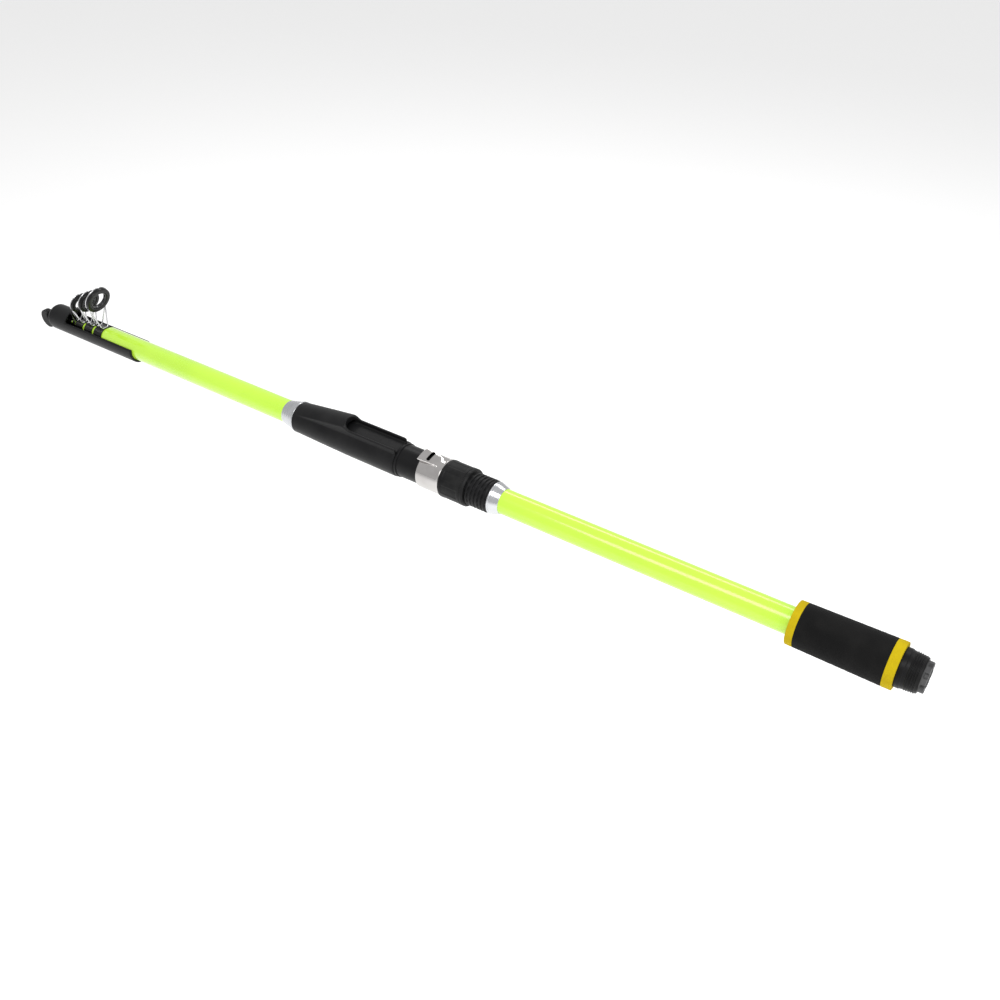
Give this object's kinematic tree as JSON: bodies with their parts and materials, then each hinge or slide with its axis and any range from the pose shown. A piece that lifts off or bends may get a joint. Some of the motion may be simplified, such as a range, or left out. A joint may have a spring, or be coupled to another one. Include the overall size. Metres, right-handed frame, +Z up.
{
  "type": "fishing rod",
  "caption": "Closed telescopic surf rod with a screw-down reel seat, foam butt grip, wire-legged line guides and a half-open tip cover with a hook.",
  "frame": {"origin": "on the rod's axis, in the butt plug's end face", "axes": "+X along the rod from butt to tip, +Z up through the guides; the reel seat's foot channel is turned 10 degrees from them, towards +Y"},
  "size_m": [1.067, 0.0404, 0.0812],
  "materials": {
    "neon_gloss": "gloss lacquer over carbon and glass fibre",
    "cap_plastic": "satin",
    "plug_plastic": "satin",
    "seal_rubber": "matte",
    "yellow_foam": "matte closed-cell foam",
    "black_foam": "matte closed-cell foam",
    "polished_aluminium": "polished",
    "seat_plastic": "satin",
    "arbor_foam": "matte",
    "polished_steel": "mirror polished",
    "foot_wrap": "gloss",
    "steel_wire": "bright drawn wire",
    "black_ring": "satin",
    "ceramic": "polished",
    "cover_plastic": "satin"
  },
  "bodies": {
    "butt_section": {"butt_blank": "neon_gloss", "butt_cap": "cap_plastic", "rear_grip_ring": "yellow_foam", "butt_grip": "black_foam", "front_grip_ring": "yellow_foam", "rear_winding_check": "polished_aluminium", "seat_barrel": "seat_plastic", "rear_arbor": "arbor_foam", "front_arbor": "arbor_foam", "seat_end_ring": "seat_plastic", "fixed_hood_body": "seat_plastic", "front_winding_check": "polished_aluminium"},
    "plug_pad": {"damper_pad": "seal_rubber"},
    "plug": {"butt_plug": "plug_plastic", "plug_seal": "seal_rubber"},
    "hood": {"moving_hood": "polished_steel", "hood_liner": "seat_plastic"},
    "nut": {"lock_nut": "seat_plastic"},
    "section_two": {"second_section": "neon_gloss", "guide_1_foot": "foot_wrap", "guide_1_frame": "steel_wire", "guide_1_hoop": "steel_wire", "guide_1_ring": "black_ring", "guide_1_insert": "ceramic"},
    "section_three": {"third_section": "neon_gloss", "guide_2_foot": "foot_wrap", "guide_2_frame": "steel_wire", "guide_2_hoop": "steel_wire", "guide_2_ring": "black_ring", "guide_2_insert": "ceramic"},
    "section_four": {"fourth_section": "neon_gloss", "guide_3_foot": "foot_wrap", "guide_3_frame": "steel_wire", "guide_3_hoop": "steel_wire", "guide_3_ring": "black_ring", "guide_3_insert": "ceramic"},
    "section_tip": {"tip_section": "neon_gloss", "guide_4_foot": "foot_wrap", "guide_4_frame": "steel_wire", "guide_4_hoop": "steel_wire", "guide_4_ring": "black_ring", "tip_top_tube": "steel_wire", "tip_top_frame": "steel_wire", "tip_top_ring": "black_ring"},
    "cover": {"tip_cover": "cover_plastic"}
  },
  "joints": [
    {"name": "section_two_slide", "type": "slide", "parent": "butt_section", "child": "section_two", "axis": [1, 0, 0], "range_m": [0, 0.835]},
    {"name": "section_three_slide", "type": "slide", "parent": "section_two", "child": "section_three", "axis": [1, 0, 0], "range_m": [0, 0.854]},
    {"name": "section_four_slide", "type": "slide", "parent": "section_three", "child": "section_four", "axis": [1, 0, 0], "range_m": [0, 0.873]},
    {"name": "section_tip_slide", "type": "slide", "parent": "section_four", "child": "section_tip", "axis": [1, 0, 0], "range_m": [0, 0.892]},
    {"name": "cover_pull", "type": "slide", "parent": "section_tip", "child": "cover", "axis": [1, 0, 0], "range_m": [0, 0.16]},
    {"name": "hood_slide", "type": "slide", "parent": "butt_section", "child": "hood", "axis": [1, 0, 0], "range_m": [-0.022, 0.022]},
    {"name": "nut_turn", "type": "hinge", "parent": "hood", "child": "nut", "pos_m": [0.441, 0, 0], "axis": [1, 0, 0], "range_deg": [-2000, 2000]},
    {"name": "plug_withdraw", "type": "slide", "parent": "butt_section", "child": "plug_pad", "axis": [-1, 0, 0], "range_m": [0, 0.012]},
    {"name": "plug_turn", "type": "hinge", "parent": "plug_pad", "child": "plug", "pos_m": [0.01, 0, 0], "axis": [-1, 0, 0], "range_deg": [0, 2200]}
  ],
  "couplings": [
    {"joint": "nut_turn", "follows": "hood_slide", "rad_per_m": 1570.8},
    {"joint": "plug_turn", "follows": "plug_withdraw", "rad_per_m": 3141.6}
  ]
}
